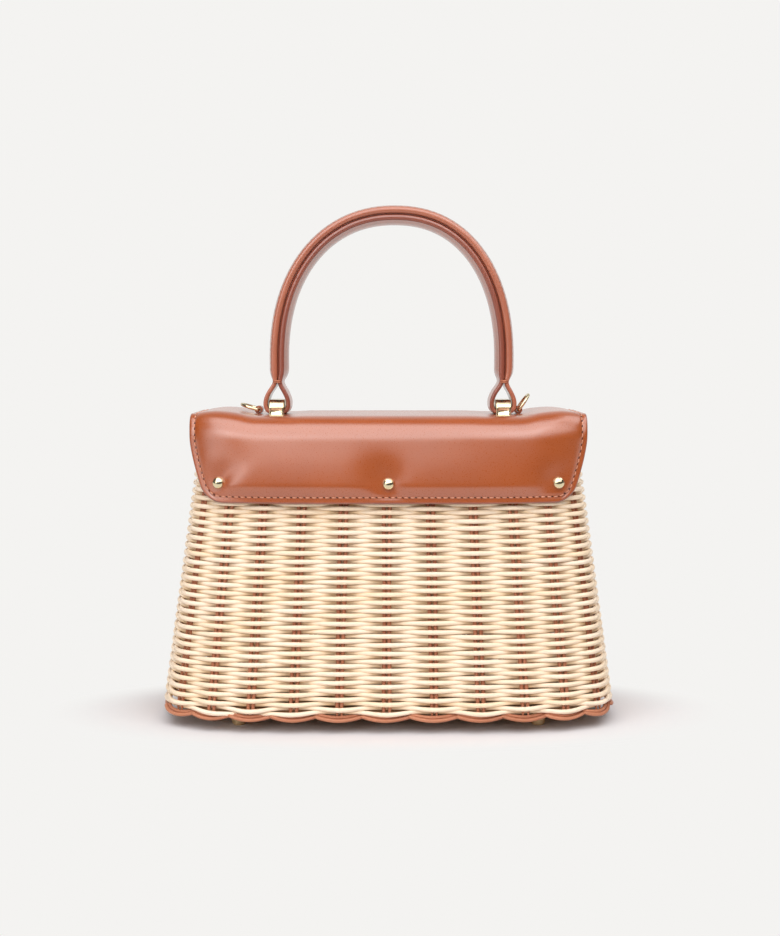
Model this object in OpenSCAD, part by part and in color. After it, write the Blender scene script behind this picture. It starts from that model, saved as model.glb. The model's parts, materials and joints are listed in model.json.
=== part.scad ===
// A trapezoid rattan handbag: woven basket, riveted leather flap, looped top handle.
// X runs across the bag, -Y is the riveted rear face and +Z is up. The origin lies
// on the ground under the middle of the base.

/* [Basket] */
// Width over the weave at the foot
base_w = 273.4; // [250:0.1:296]
// Depth over the weave at the foot
base_d = 120; // [112:1:134]
// Width over the weave at the rim
top_w = 227.2; // [212:0.1:242]
// Depth over the weave at the rim
top_d = 90; // [84:1:100]
// Height of the woven wall
wall_h = 163.3; // [150:0.1:180]
// Squareness of the plan, where 2 is an ellipse
plan_n = 4.3; // [3:0.1:5]
// Upright stakes round the basket, an even count
stakes = 28; // [24:2:32]
// How far the stakes crowd towards the ends of the basket
stake_crowd = 7.3; // [0:0.1:10]
// Rows of weaving up the wall
weave_rows = 68; // [60:2:72]
// Thickness of a stake
stake_d = 2.8; // [2.4:0.1:3.2]
// Thickness of a weaver
weaver_d = 2.7; // [2.3:0.1:3.1]
// Thickness of the rolled rim
rim_d = 4.8; // [4:0.2:5.6]

/* [Base] */
// Height of the foot border above the ground
ground_gap = 6.6; // [5:0.2:9]
// Height of the foot border
border_h = 4.4; // [4:0.2:6]
// Depth of the scallops along the border
scallop = 1.8; // [0.8:0.1:2]
// Reach of the border's inner lip past the wall
lip_reach = 3.5; // [2.5:0.5:5]
// Thickness of the lip
lip_t = 1.6; // [1.2:0.1:2]
// Thickness of the base board
board_t = 3.5; // [3:0.5:5]
// Gap between the board and the wall
board_gap = 0.4; // [0.3:0.1:0.8]

/* [Feet] */
// Distance of the feet from the ends of the base
foot_in_x = 47; // [38:1:60]
// Distance of the feet from the long sides of the base
foot_in_y = 25; // [24:1:32]
// Diameter of a foot at the board
foot_top_d = 10; // [8:0.5:12]
// Diameter of a foot at the ground
foot_end_d = 8; // [6:0.5:9]
// Diameter of the spigot that holds a foot in the board
spigot_d = 3.2; // [2.4:0.2:4]

/* [Flap] */
// Thickness of the leather
leather_t = 1.6; // [1.2:0.1:2.2]
// Thickness of the lining
lining_t = 0.8; // [0.5:0.1:1.2]
// Overhang of the flap past the rim at each side
flap_over = 3.5; // [3:0.5:10]
// Outer radius of the bends over the rim
bend_r = 15; // [14:0.5:18]
// Drop of the rear edge below the top of the lid
rear_drop = 49.3; // [44:0.1:66]
// Drop of the front edge below the top of the lid
front_drop = 59.5; // [56:0.5:78]
// Draw-in of the flap's sides towards its lower edge
side_taper = 10; // [4:0.5:16]
// Radius of the flap's lower corners
corner_r = 9; // [5:1:14]
// Bow of the flap, how far its sides lie behind its middle
flap_bow = 14; // [8:1:18]
// Gap between the lining and the weave at the rear
weave_gap = 0.7; // [0.4:0.1:1.5]
// Gap between the lining and the rim
rim_gap = 0.4; // [0.3:0.1:0.8]
// Opening of the crease where the lid turns, in degrees
crease = 4; // [3:0.5:6]

/* [Studs] */
// Distance of the outer studs from the flap's widest point
stud_in = 17.5; // [14:0.1:30]
// Height of the studs above the rear edge
stud_up = 10.8; // [8:0.2:16]
// Diameter of a stud's head
stud_d = 7.3; // [6:0.1:9]
// Height of a stud's dome
stud_h = 3.2; // [2:0.1:4]
// Diameter of a shank
shank_d = 2.4; // [2:0.1:3]
// Diameter of the washers inside the basket
washer_d = 9; // [7:0.5:11]
// Thickness of the washers
washer_t = 0.8; // [0.6:0.1:1.2]

/* [Handle] */
// Height of the handle's top above the lid
handle_h = 125.3; // [112:0.1:142]
// Distance of each foot of the handle from the middle
handle_x = 68.6; // [58:0.2:78]
// Outward swell of the arch past its feet
handle_swell = 1.5; // [0:0.5:4]
// Height of the arch's springing above the lid
spring_h = 33.2; // [26:0.1:44]
// Squareness of the arch, where 2 is an ellipse
arch_n = 2.2; // [2:0.1:2.6]
// Width of the strap
strap_w = 24; // [20:1:28]
// Thickness of the doubled strap
strap_t = 7.6; // [7:0.2:9]
// Crown of the padded strap
strap_crown = 0.8; // [0:0.1:1.2]
// Thickness of the strap where it loops round its bridge
loop_t = 3; // [2.6:0.1:3.4]
// Height of the crotch where the loop closes, above the lid
crotch_h = 18.5; // [16:0.1:22]

/* [Bridges and rings] */
// Width of a bridge
bridge_w = 9; // [7:0.2:10]
// Thickness of a bridge's legs
leg_t = 2.5; // [2:0.1:3.5]
// Thickness of a bridge's bar
bar_t = 5.2; // [4.6:0.1:6]
// Chamfer along the bridge's ends
bridge_chamfer = 4; // [2:0.1:4.4]
// Thickness of the backing plates under the lining
plate_t = 1.2; // [0.8:0.1:2]
// Diameter of the ring wire
wire_d = 2; // [1.6:0.1:2.6]
// Width of a ring between the middles of its sides
ring_w = 14; // [12:0.5:18]
// Length of a ring's straight sides
ring_leg = 5; // [3:0.5:8]
// Lift of the left ring as it lies
ring_left_lift = 17; // [6:1:80]
// Lift of the right ring as it lies
ring_right_lift = 55; // [6:1:80]
// Width of the leather tab that holds a ring
tab_w = 8; // [6:0.5:10]
// Thickness of the leather of a tab
tab_t = 1.2; // [1:0.1:1.5]

/* [Closure] */
// Height of the snap above the front edge
snap_up = 22; // [18:1:30]
// Diameter of the leather patch behind the snap
patch_d = 32; // [26:1:36]
// Thickness of the patch
patch_t = 1.4; // [1:0.1:2]
// Diameter of each half of the snap
magnet_d = 18; // [14:1:20]
// Thickness of each half of the snap
magnet_t = 1.5; // [1.2:0.1:2]

/* [Hidden] */
$fn = 48;

// Clearances
hole_gap = 0.15;
seat_gap = 0.5;
snap_gap = 0.4;
loop_gap = 0.3;
ring_play = 0.25;
strap_gap = 0.5;
contact_gap = 0.1;
past = 1;

// Finishes
rattan = "#f1ddb6";
stained = "#b9734f";
leather = "#b35c38";
suede = "#c79a78";
board = "#a07a55";
brass = "#e0c27c";
steel = "#c9c9c4";

// Heights up the basket
crest = stake_d / 2 + weaver_d;
wall_z = ground_gap + border_h;
wall_top = wall_z + wall_h;
lip_low = ground_gap + scallop;
lip_top = lip_low + lip_t;
rim_r = rim_d / 2;
rim_sides = 6;
rim_z = wall_top + rim_r * sin(360 / rim_sides);
lean = atan((base_d - top_d) / 2 / wall_h);

// Plan of the basket, a squared ellipse that narrows with height.
function squircle(t) =
    [cos(t), sin(t)] * pow(pow(abs(cos(t)), plan_n) + pow(abs(sin(t)), plan_n), -1 / plan_n);
function rise(z) = (z - wall_z) / wall_h;
function half_w(z) = (base_w + (top_w - base_w) * rise(z)) / 2 - crest;
function half_d(z) = (base_d + (top_d - base_d) * rise(z)) / 2 - crest;
function wall_point(t, z, out) =
    [squircle(t).x * (half_w(z) + out), squircle(t).y * (half_d(z) + out), z];

// Turns round the plan at which the stakes stand, spaced along the wall and a little
// closer towards its two ends.
plan_steps = 720;
function plan_turn(i) = 270 + 360 * i / plan_steps;
function plan_step(i) =
    norm(wall_point(plan_turn(i + 1), wall_z + wall_h / 2, 0)
        - wall_point(plan_turn(i), wall_z + wall_h / 2, 0));
plan_table = [for (i = 0, arc = 0; i <= plan_steps; arc = arc + plan_step(i), i = i + 1)
    [arc, plan_turn(i)]];
perimeter = plan_table[plan_steps][0];
function stake_turn(k) =
    lookup(k / stakes * perimeter + stake_crowd * sin(720 * k / stakes), plan_table);

// Two points for each stake, one on it and one midway to the next.
halves = 2 * stakes;
function half_turn(j) = stake_turn(j / 2);

// Skin over rings of points: each ring runs to the right and the next lies above it,
// as seen from outside. A closed skin joins its last ring to its first. The diagonals
// alternate, so that on the weave they meet where a weaver crosses a stake.
module skin(rings, closed) {
    n = len(rings[0]);
    m = len(rings);
    sides = [for (i = [0 : closed ? m - 1 : m - 2], j = [0 : n - 1])
        let (low = i * n, high = (i + 1) % m * n, k = (j + 1) % n)
        each (i + floor(j / 2)) % 2 == 0
            ? [[low + j, high + k, low + k], [low + j, high + j, high + k]]
            : [[low + j, high + j, low + k], [low + k, high + j, high + k]]];
    ends = closed ? [] : [[for (j = [0 : n - 1]) j], [for (j = [1 : n]) m * n - j]];
    polyhedron([for (r = rings) each r], concat(sides, ends));
}

// How far the outside of the weave stands out in row i at half stake j: a weaver passes
// in front of every other stake, and of the ones between in the next row. Between stakes
// the weavers cross, level with each other.
function weave_out(i, j) =
    i == 0 || i > weave_rows || j % 2 == 1 ? weaver_d / 2
    : (i + j / 2) % 2 == 0 ? crest : stake_d / 2;
function row_z(i) = wall_z + wall_h * max(0, min(i - 0.5, weave_rows)) / weave_rows;

module wicker_basket() {
    outside = [for (i = [0 : weave_rows + 1])
        [for (j = [0 : halves - 1]) wall_point(half_turn(j), row_z(i), weave_out(i, j))]];
    inside = [for (z = [wall_top, wall_z])
        [for (j = [0 : halves - 1]) wall_point(half_turn(j), z, -crest)]];
    color(rattan) difference() {
        skin(concat(outside, inside), true);
        for (x = stud_places) at_stud(x) shank_hole(seat(x, 0));
        at_snap() shank_hole(snap_depth);
    }
}

// Border of paired rods that loops from stake to stake under the wall, low at the stakes.
module foot_border() {
    quarters = 4 * stakes;
    function low(j) = ground_gap + scallop * pow((j + 2) % 4 / 2 - 1, 2);
    function border_ring(out, z, dips) = [for (j = [0 : quarters - 1])
        wall_point(stake_turn(j / 4), dips ? low(j) : z, out)];
    color(stained) skin([
        border_ring(-crest - lip_reach, lip_low, false),
        border_ring(-stake_d / 2, 0, true),
        border_ring(stake_d, 0, true),
        border_ring(crest, wall_z - border_h / 3, false),
        border_ring(stake_d, wall_z, false),
        border_ring(-crest, wall_z, false),
        border_ring(-crest, lip_top, false),
        border_ring(-crest - lip_reach, lip_top, false)], true);
}

module rim_border() {
    color(stained) skin([for (a = [0 : rim_sides - 1])
        let (turn = 360 * a / rim_sides)
        [for (j = [0 : halves - 1])
            wall_point(half_turn(j), rim_z + rim_r * sin(turn), rim_r * cos(turn))]], true);
}

module base_board() {
    edge = [for (j = [0 : halves - 1])
        let (p = wall_point(half_turn(j), lip_top + board_t, -crest - board_gap)) [p.x, p.y]];
    color(board) translate([0, 0, lip_top]) difference() {
        linear_extrude(board_t) polygon(edge);
        for (sx = [-1, 1], sy = [-1, 1])
            translate([sx * foot_x, sy * foot_y, -past])
                cylinder(h = board_t + 2 * past, d = spigot_d + 2 * contact_gap);
    }
}

foot_x = base_w / 2 - foot_in_x;
foot_y = base_d / 2 - foot_in_y;
foot_round = 0.8;

// Turned foot with a softened ground edge and a spigot up into the board.
module foot(sx, sy) {
    color(brass) translate([sx * foot_x, sy * foot_y, 0]) rotate_extrude()
        polygon([[0, 0], [foot_end_d / 2 - foot_round, 0], [foot_end_d / 2, foot_round],
            [foot_top_d / 2, lip_top], [spigot_d / 2, lip_top],
            [spigot_d / 2, lip_top + board_t], [0, lip_top + board_t]]);
}

module foot_rear_left() { foot(-1, -1); }
module foot_rear_right() { foot(1, -1); }
module foot_front_left() { foot(-1, 1); }
module foot_front_right() { foot(1, 1); }

// Section of the flap at the middle of the bag, in Y and Z. The bends are arcs about
// these centres, the lid is flat between them, and both faces lean with the wall.
flap_hw = top_w / 2 + flap_over;
flap_t = leather_t + contact_gap + lining_t;
rear_off = crest + weave_gap + flap_t;
front_off = crest + 2 * contact_gap + patch_t + 2 * magnet_t + snap_gap + flap_t;
rear_out = [-cos(lean), sin(lean)];
front_out = [cos(lean), sin(lean)];
rear_up = [sin(lean), cos(lean)];
front_up = [-sin(lean), cos(lean)];
rim_reach = bend_r - flap_t - rim_gap - rim_r;
rear_centre = [-half_d(rim_z), rim_z] - (bend_r - rear_off) * rear_out
    - sqrt(pow(rim_reach, 2) - pow(bend_r - rear_off, 2)) * rear_up;
lid_z = rear_centre.y + bend_r;
front_start = [half_d(rim_z), rim_z] + (front_off - bend_r) * front_out;
front_centre = front_start + (rear_centre.y - front_start.y) / front_up.y * front_up;
rear_face_h = (rear_drop - bend_r + bend_r * sin(lean)) / cos(lean);
front_face_h = (front_drop - bend_r + bend_r * sin(lean)) / cos(lean);
bow_share = flap_bow / (bend_r - rear_centre.x);
hinge_turn = 135;

// One row of the flap: its point, its outward direction and its half width.
function bend_row(centre, turn) =
    [centre + bend_r * [cos(turn), sin(turn)], [cos(turn), sin(turn)], flap_hw];
function face_row(centre, out, up, h, w) = [centre + bend_r * out - h * up, out, w];
function face_w(h, face_h) = flap_hw - side_taper * pow(h / face_h, 1.4);

// Rows down a face from its bend, the last ones round the lower corners.
face_steps = 4;
corner_step = 30;
function face_rows(centre, out, up, face_h) = concat(
    [for (i = [1 : face_steps - 1])
        let (h = (face_h - corner_r) * i / face_steps)
        face_row(centre, out, up, h, face_w(h, face_h))],
    [for (a = [0 : corner_step : 90])
        let (h = face_h - corner_r * (1 - sin(a)))
        face_row(centre, out, up, h, face_w(h, face_h) - corner_r * (1 - cos(a)))]);

bend_steps = 6;
function bend_rows(centre, from, to) = [for (i = [0 : bend_steps])
    bend_row(centre, from + (to - from) * i / bend_steps)];
function backward(list) = [for (i = [len(list) - 1 : -1 : 0]) list[i]];

rear_rows = concat(
    backward(face_rows(rear_centre, rear_out, rear_up, rear_face_h)),
    bend_rows(rear_centre, 180 - lean, hinge_turn + crease / 2));
lid_rows = concat(
    bend_rows(rear_centre, hinge_turn - crease / 2, 90),
    bend_rows(front_centre, 90, lean),
    face_rows(front_centre, front_out, front_up, front_face_h));

// Point of the flap at X, at a depth below a row's outer skin, drawn in by the bow.
function flap_point(row, x, depth) =
    let (p = row[0] - depth * row[1])
    [x, p.x * (1 - bow_share * pow(abs(x) / flap_hw, plan_n)), p.y];

// Leather between two depths below the outer skin. Both faces are split along the same
// diagonals, so that layers lie flat on each other.
flap_columns = 8;
module flap_sheet(rows, outer, inner) {
    n = flap_columns;
    function across(row, c) = row[2] * (2 * c / n - 1);
    rings = [for (row = rows) concat(
        [for (c = [0 : n]) flap_point(row, across(row, c), outer)],
        [for (c = [n : -1 : 0]) flap_point(row, across(row, c), inner)])];
    ring = 2 * n + 2;
    last = (len(rings) - 1) * ring;
    sides = [for (i = [0 : len(rings) - 2], j = [0 : ring - 1])
        let (low = i * ring, high = low + ring, k = (j + 1) % ring)
        each j <= n
            ? [[low + j, high + k, low + k], [low + j, high + j, high + k]]
            : [[low + j, high + j, low + k], [low + k, high + j, high + k]]];
    ends = [for (c = [0 : n - 1])
        let (a = c, b = c + 1, d = ring - 1 - c, e = ring - 2 - c)
        each [[a, b, e], [a, e, d], [last + a, last + e, last + b], [last + a, last + d, last + e]]];
    polyhedron([for (r = rings) each r], concat(sides, ends));
}

module rear_panel() {
    color(leather) difference() {
        flap_sheet(rear_rows, 0, leather_t);
        for (x = stud_places) at_stud(x) shank_hole(flap_t + past);
    }
}

module rear_lining() {
    color(suede) difference() {
        flap_sheet(rear_rows, leather_t + contact_gap, flap_t);
        for (x = stud_places) at_stud(x) shank_hole(flap_t + past);
    }
}

module lid_leather() {
    color(leather) difference() {
        flap_sheet(lid_rows, 0, leather_t);
        lid_slots();
    }
}

module lid_lining() {
    color(suede) difference() {
        flap_sheet(lid_rows, leather_t + contact_gap, flap_t);
        lid_slots();
    }
}

// Slots through the lid for the legs of the bridges and the stems of the ring tabs.
module lid_slots() {
    deep = flap_t + 2 * past;
    for (s = [-1, 1]) {
        translate([s * handle_x, 0, lid_z - flap_t / 2]) leg_slots(deep);
        translate([s * ring_x, 0, lid_z - flap_t / 2])
            cube([2 * tab_t + 2 * hole_gap, tab_w + 2 * hole_gap, deep], center = true);
    }
}

module leg_slots(deep) {
    for (s = [-1, 1])
        translate([0, s * (bridge_half - leg_t / 2), 0])
            cube([bridge_w + 2 * hole_gap, leg_t + 2 * hole_gap, deep], center = true);
}

// Studs that rivet the rear of the flap to the wall.
stud_x = flap_hw - stud_in;
stud_places = [-stud_x, 0, stud_x];
stud_row = face_row(rear_centre, rear_out, rear_up, rear_face_h - stud_up, flap_hw);
function stud_point(x) = flap_point(stud_row, x, -contact_gap / 2);
function stud_turn(x) = atan(-stud_row[0].x * bow_share * plan_n / flap_hw
    * pow(abs(x) / flap_hw, plan_n - 1) * sign(x));

module at_stud(x) {
    translate(stud_point(x)) rotate([90 - lean, 0, stud_turn(x)]) children();
}

// Place in the bag of a point given in a stud's own frame.
function from_stud(x, v) =
    let (y = v.y * sin(lean) - v.z * cos(lean), z = v.y * cos(lean) + v.z * sin(lean))
    stud_point(x) + [v.x * cos(stud_turn(x)) - y * sin(stud_turn(x)),
        v.x * sin(stud_turn(x)) + y * cos(stud_turn(x)), z];

// Room between a point and the inside of the wall, and the least depth at which
// a washer has that room all round.
function wall_room(p) =
    let (w = half_w(p.z) - crest, d = half_d(p.z) - crest)
    d - d * pow(pow(abs(p.x) / w, plan_n) + pow(abs(p.y) / d, plan_n), 1 / plan_n);
function washer_room(x, depth) = min([for (a = [0 : 30 : 330])
    wall_room(from_stud(x, [washer_d / 2 * cos(a), washer_d / 2 * sin(a), -depth]))]);
seat_step = 0.05;
function seat(x, depth) =
    washer_room(x, depth) >= seat_gap ? depth : seat(x, depth + seat_step);

module shank_hole(depth) {
    translate([0, 0, -depth - past])
        cylinder(h = depth + 2 * past, d = shank_d + 2 * hole_gap);
}

// Rivet along Z: a shank from the head at zero to a clenched end below the washer.
module rivet_shank(depth) {
    clench = washer_t + contact_gap;
    translate([0, 0, -depth - clench]) cylinder(h = depth + clench, d = shank_d);
    translate([0, 0, -depth - clench - washer_t])
        cylinder(h = washer_t, d1 = shank_d, d2 = (shank_d + washer_d) / 2);
}

module washer_disc(depth) {
    translate([0, 0, -depth - washer_t]) difference() {
        cylinder(h = washer_t, d = washer_d);
        translate([0, 0, -past])
            cylinder(h = washer_t + 2 * past, d = shank_d + 2 * hole_gap);
    }
}

module stud(x) {
    dome_step = 10;
    color(brass) at_stud(x) {
        rotate_extrude()
            polygon(concat([[0, 0]],
                [for (a = [0 : dome_step : 90]) [stud_d / 2 * cos(a), stud_h * sin(a)]]));
        rivet_shank(seat(x, 0));
    }
}

module stud_left() { stud(-stud_x); }
module stud_middle() { stud(0); }
module stud_right() { stud(stud_x); }
module stud_washer_left() { color(steel) at_stud(-stud_x) washer_disc(seat(-stud_x, 0)); }
module stud_washer_middle() { color(steel) at_stud(0) washer_disc(seat(0, 0)); }
module stud_washer_right() { color(steel) at_stud(stud_x) washer_disc(seat(stud_x, 0)); }

// Handle: a doubled strap in a slightly squared arch, whose layers part below the crotch
// and run round the bridges.
spring_z = lid_z + spring_h;
crotch_z = lid_z + crotch_h;
arch_w = handle_x + handle_swell;
arch_h = handle_h - spring_h - strap_t / 2 - strap_crown;
arch_step = 9;
loop_foot = lid_z + loop_gap;
eye_foot = loop_foot + loop_t;
eye_w = bridge_w / 2 + strap_gap;

// Stations of the arch from left to right: a point in X and Z and its outward direction.
function arch_station(a) =
    let (e = 2 / arch_n, side = sign(cos(a)), c = abs(cos(a)), s = sin(a),
        out = [side * pow(c, 2 - e) / arch_w, pow(s, 2 - e) / arch_h])
    [[side * arch_w * pow(c, e), spring_z + arch_h * pow(s, e)], out / norm(out)];
function leg_station(s) = [[s * handle_x, crotch_z], [s, 0]];

module handle_arch() {
    edge = 1.3;
    groove = 0.8;
    split = -0.3;
    half = strap_t / 2;
    side = [[half + strap_crown, 0], [half, strap_w / 2 - edge], [half - edge, strap_w / 2],
        [split + groove / 2, strap_w / 2], [split, strap_w / 2 - groove],
        [split - groove / 2, strap_w / 2], [edge - half, strap_w / 2],
        [-half, strap_w / 2 - edge], [-half - strap_crown, 0]];
    section = concat([for (i = [0 : len(side) - 1]) [side[i].x, -side[i].y]],
        [for (i = [len(side) - 2 : -1 : 1]) side[i]]);
    stations = concat([leg_station(-1)],
        [for (a = [180 : -arch_step : 0]) arch_station(a)], [leg_station(1)]);
    skin([for (s = stations)
        [for (p = section) let (q = s[0] + p.x * s[1]) [q.x, p.y, q.y]]], false);
}

// Outline of one loop in X and Z, half of it, from its foot up to the doubled strap.
module handle_loop() {
    shoulder = loop_gap + bar_t + contact_gap;
    nip = 1.2;
    eye_nip = strap_gap;
    eye = [[eye_w - eye_nip, eye_foot], [eye_w, eye_foot + eye_nip],
        [eye_w, eye_foot + shoulder], [contact_gap, crotch_z]];
    skin_out = [[eye_w, loop_foot], [eye_w + loop_t - nip / 2, loop_foot + 2 * nip],
        [eye_w + loop_t, eye_foot + nip], [eye_w + loop_t - nip / 4, eye_foot + shoulder + nip],
        [strap_t / 2 + nip, crotch_z - nip], [strap_t / 2, crotch_z + shoulder]];
    function both(points) = concat(points, [for (p = backward(points)) [-p.x, p.y]]);
    rotate([90, 0, 0]) linear_extrude(strap_w, center = true) difference() {
        polygon(both(skin_out));
        polygon(both(eye));
    }
}

module handle() {
    color(leather) {
        handle_arch();
        for (s = [-1, 1]) translate([s * handle_x, 0, 0]) handle_loop();
    }
}

// Bridges: chamfered staples over the loops, their legs down through the lid
// and a backing plate.
bridge_half = strap_w / 2 + strap_gap + leg_t;
bar_z = eye_foot + loop_gap;
plate_z = lid_z - flap_t - plate_t;
plate_edge = 2;

module bridge(s) {
    frame = 1.4;
    dish = 0.4;
    inner = bridge_half - leg_t;
    bar_top = bar_z + bar_t;
    staple = [[bridge_half, plate_z], [bridge_half, bar_top - bridge_chamfer],
        [bridge_half - bridge_chamfer, bar_top], [bridge_chamfer - bridge_half, bar_top],
        [-bridge_half, bar_top - bridge_chamfer], [-bridge_half, plate_z],
        [-inner, plate_z], [-inner, bar_z], [inner, bar_z], [inner, plate_z]];
    dish_h = bar_top - bridge_chamfer - lid_z - 2 * frame;
    color(brass) translate([s * handle_x, 0, 0]) difference() {
        rotate([90, 0, 90]) linear_extrude(bridge_w, center = true) polygon(staple);
        for (side = [-1, 1])
            translate([0, side * bridge_half, lid_z + frame + dish_h / 2])
                cube([bridge_w - 2 * frame, 2 * dish, dish_h], center = true);
    }
}

module bridge_plate(s) {
    plate = [bridge_w + 2 * plate_edge, 2 * (bridge_half + plate_edge), plate_t];
    color(steel) translate([s * handle_x, 0, plate_z + plate_t / 2]) difference() {
        cube(plate, center = true);
        leg_slots(plate_t + 2 * past);
    }
}

module bridge_left() { bridge(-1); }
module bridge_right() { bridge(1); }
module bridge_plate_left() { bridge_plate(-1); }
module bridge_plate_right() { bridge_plate(1); }

// Strap rings, each turning in a leather tab beside a foot of the handle.
tab_r = wire_d / 2 + ring_play + tab_t;
ring_x = handle_x + eye_w + loop_t + loop_gap + tab_r;
ring_z = lid_z + tab_r + contact_gap;

// D ring lying in the XY plane, its straight bar along Y through the origin.
module d_ring() {
    rotate([90, 0, 0]) cylinder(h = ring_w, d = wire_d, center = true);
    for (s = [-1, 1]) translate([0, s * ring_w / 2, 0]) {
        sphere(d = wire_d);
        rotate([0, 90, 0]) cylinder(h = ring_leg, d = wire_d);
    }
    translate([ring_leg, 0, 0]) rotate([0, 0, -90])
        rotate_extrude(angle = 180) translate([ring_w / 2, 0]) circle(d = wire_d);
}

module ring_left() {
    color(brass) translate([-ring_x, 0, ring_z]) rotate([0, ring_left_lift - 180, 0]) d_ring();
}

module ring_right() {
    color(brass) translate([ring_x, 0, ring_z]) rotate([0, -ring_right_lift, 0]) d_ring();
}

// Tab folded round the bar, sewn through the lid to a foot under the lining.
module ring_tab(s) {
    foot_w = 3 * tab_t;
    foot_z = lid_z - flap_t - tab_t;
    color(leather) translate([s * ring_x, 0, 0]) {
        difference() {
            union() {
                translate([0, 0, ring_z]) rotate([90, 0, 0])
                    cylinder(h = tab_w, r = tab_r, center = true);
                translate([-tab_t, -tab_w / 2, foot_z])
                    cube([2 * tab_t, tab_w, ring_z - foot_z]);
            }
            translate([0, 0, ring_z]) rotate([90, 0, 0])
                cylinder(h = tab_w + 2 * past, d = wire_d + 2 * ring_play, center = true);
        }
        translate([-foot_w, -tab_w / 2, foot_z]) cube([2 * foot_w, tab_w, tab_t]);
    }
}

module ring_tab_left() { ring_tab(-1); }
module ring_tab_right() { ring_tab(1); }

// Hidden snap at the middle of the front, in a frame whose Z points out of the flap.
snap_row = face_row(front_centre, front_out, front_up, front_face_h - snap_up, flap_hw);
snap_depth = front_off + crest + contact_gap;
lid_magnet_z = -flap_t - contact_gap - magnet_t;
body_magnet_z = lid_magnet_z - snap_gap - magnet_t;

module at_snap() {
    translate(flap_point(snap_row, 0, 0)) rotate([lean - 90, 0, 0]) children();
}

module closure_patch() {
    color(leather) at_snap() translate([0, 0, body_magnet_z - patch_t]) difference() {
        cylinder(h = patch_t, d = patch_d);
        translate([0, 0, -past])
            cylinder(h = patch_t + 2 * past, d = shank_d + 2 * hole_gap);
    }
}

module body_magnet() {
    color(brass) at_snap() {
        translate([0, 0, body_magnet_z]) {
            cylinder(h = magnet_t, d = magnet_d);
            rivet_shank(snap_depth + body_magnet_z);
        }
    }
}

module magnet_washer() { color(steel) at_snap() washer_disc(snap_depth); }

module lid_magnet() {
    color(brass) at_snap() translate([0, 0, lid_magnet_z]) cylinder(h = magnet_t, d = magnet_d);
}

wicker_basket();
foot_border();
rim_border();
base_board();
foot_rear_left();
foot_rear_right();
foot_front_left();
foot_front_right();
rear_panel();
rear_lining();
lid_leather();
lid_lining();
stud_left();
stud_middle();
stud_right();
stud_washer_left();
stud_washer_middle();
stud_washer_right();
handle();
bridge_left();
bridge_right();
bridge_plate_left();
bridge_plate_right();
ring_left();
ring_right();
ring_tab_left();
ring_tab_right();
closure_patch();
body_magnet();
magnet_washer();
lid_magnet();
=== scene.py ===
"""Woven rattan handbag with a riveted leather flap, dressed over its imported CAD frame.

Lengths in the formulas are in millimetres. Each mesh is turned to metres when it is made.
X runs across the bag, -Y is the riveted rear face and Z is up from the ground.
"""
import json

import bmesh
import bpy
import numpy as np
from mathutils import Matrix, Vector


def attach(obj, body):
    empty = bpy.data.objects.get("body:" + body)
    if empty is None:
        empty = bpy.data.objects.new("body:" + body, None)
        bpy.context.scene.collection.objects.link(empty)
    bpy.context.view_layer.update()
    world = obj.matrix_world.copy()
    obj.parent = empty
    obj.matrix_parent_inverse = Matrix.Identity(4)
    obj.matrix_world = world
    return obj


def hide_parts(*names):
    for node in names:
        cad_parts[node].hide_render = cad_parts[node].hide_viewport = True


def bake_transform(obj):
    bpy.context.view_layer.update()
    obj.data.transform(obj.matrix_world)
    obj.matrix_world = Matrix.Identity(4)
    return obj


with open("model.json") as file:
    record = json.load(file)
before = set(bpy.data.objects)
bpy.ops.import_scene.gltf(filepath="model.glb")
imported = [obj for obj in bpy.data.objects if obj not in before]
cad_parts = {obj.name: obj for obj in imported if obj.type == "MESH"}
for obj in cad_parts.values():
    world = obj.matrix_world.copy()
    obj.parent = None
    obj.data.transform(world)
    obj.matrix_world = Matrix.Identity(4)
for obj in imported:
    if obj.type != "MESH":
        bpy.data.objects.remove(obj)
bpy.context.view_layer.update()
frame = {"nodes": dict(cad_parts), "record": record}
rng = np.random.default_rng(28)
MM = 0.001
WELD = 2e-6
ALONG_X = np.array([1.0, 0.0, 0.0])
ALONG_Y = np.array([0.0, 1.0, 0.0])

# Wall of the basket: full width and depth at its base and top, the power that squares its plan, how far
# its highest strands stand out from its middle, and how much more its two ends stand out
BASE_W, BASE_D, TOP_W, TOP_D = 273.4, 120.0, 227.2, 90.0
WALL_Z, WALL_H = 11.0, 163.3
PLAN_N = 4.3
CREST, END_OUT = 4.1, 1.6

# Stakes: how far they crowd towards the ends at the foot, and how much more at the top, how far they are
# set to the right towards the ends, to the left all round, and back round the ends from one stake number
# to another
STAKES = 28
CROWD, SPREAD, ASKEW, STAKE_SHIFT = 7.8, 4.2, 1.8, 1.0
END_SHIFT, END_FROM, END_FULL = 11.0, 5.0, 6.2

# Stake rods: sides of every rod's section, the rod's width and depth, the step between two of a pair,
# how far it reaches below the wall and above the rim's line, its waver, and how much deeper it lies at
# the corners
ROD_SIDES = 8
ROD_D, ROD_DEEP, ROD_STEP = 2.4, 1.9, 3.05
ROD_BELOW, ROD_ABOVE, ROD_WAVER, ROD_SUNK = 4.0, 0.4, 0.25, 0.8

# Weave: the strand's width, its middle and its swing off the wall, the rows' lift, swell and unevenness,
# the dip of the lowest row and the share that each next row keeps of it, and the sag at one stake
ROWS = 68
PITCH = WALL_H / ROWS
WEAVER_D, WEAVE_OUT, WEAVE_SWING = 2.7, 0.5, 2.1
ROW_LIFT, ROW_SWELL, ROW_WANDER, ROW_JITTER = 0.55, 1.15, 0.28, 0.07
FOOT_DIP, DIP_KEPT = 1.1, 0.72
SAG, SAG_STAKE, SAG_WIDE, SAG_ROWS = 2.4, 24.9, 0.75, 3
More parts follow.
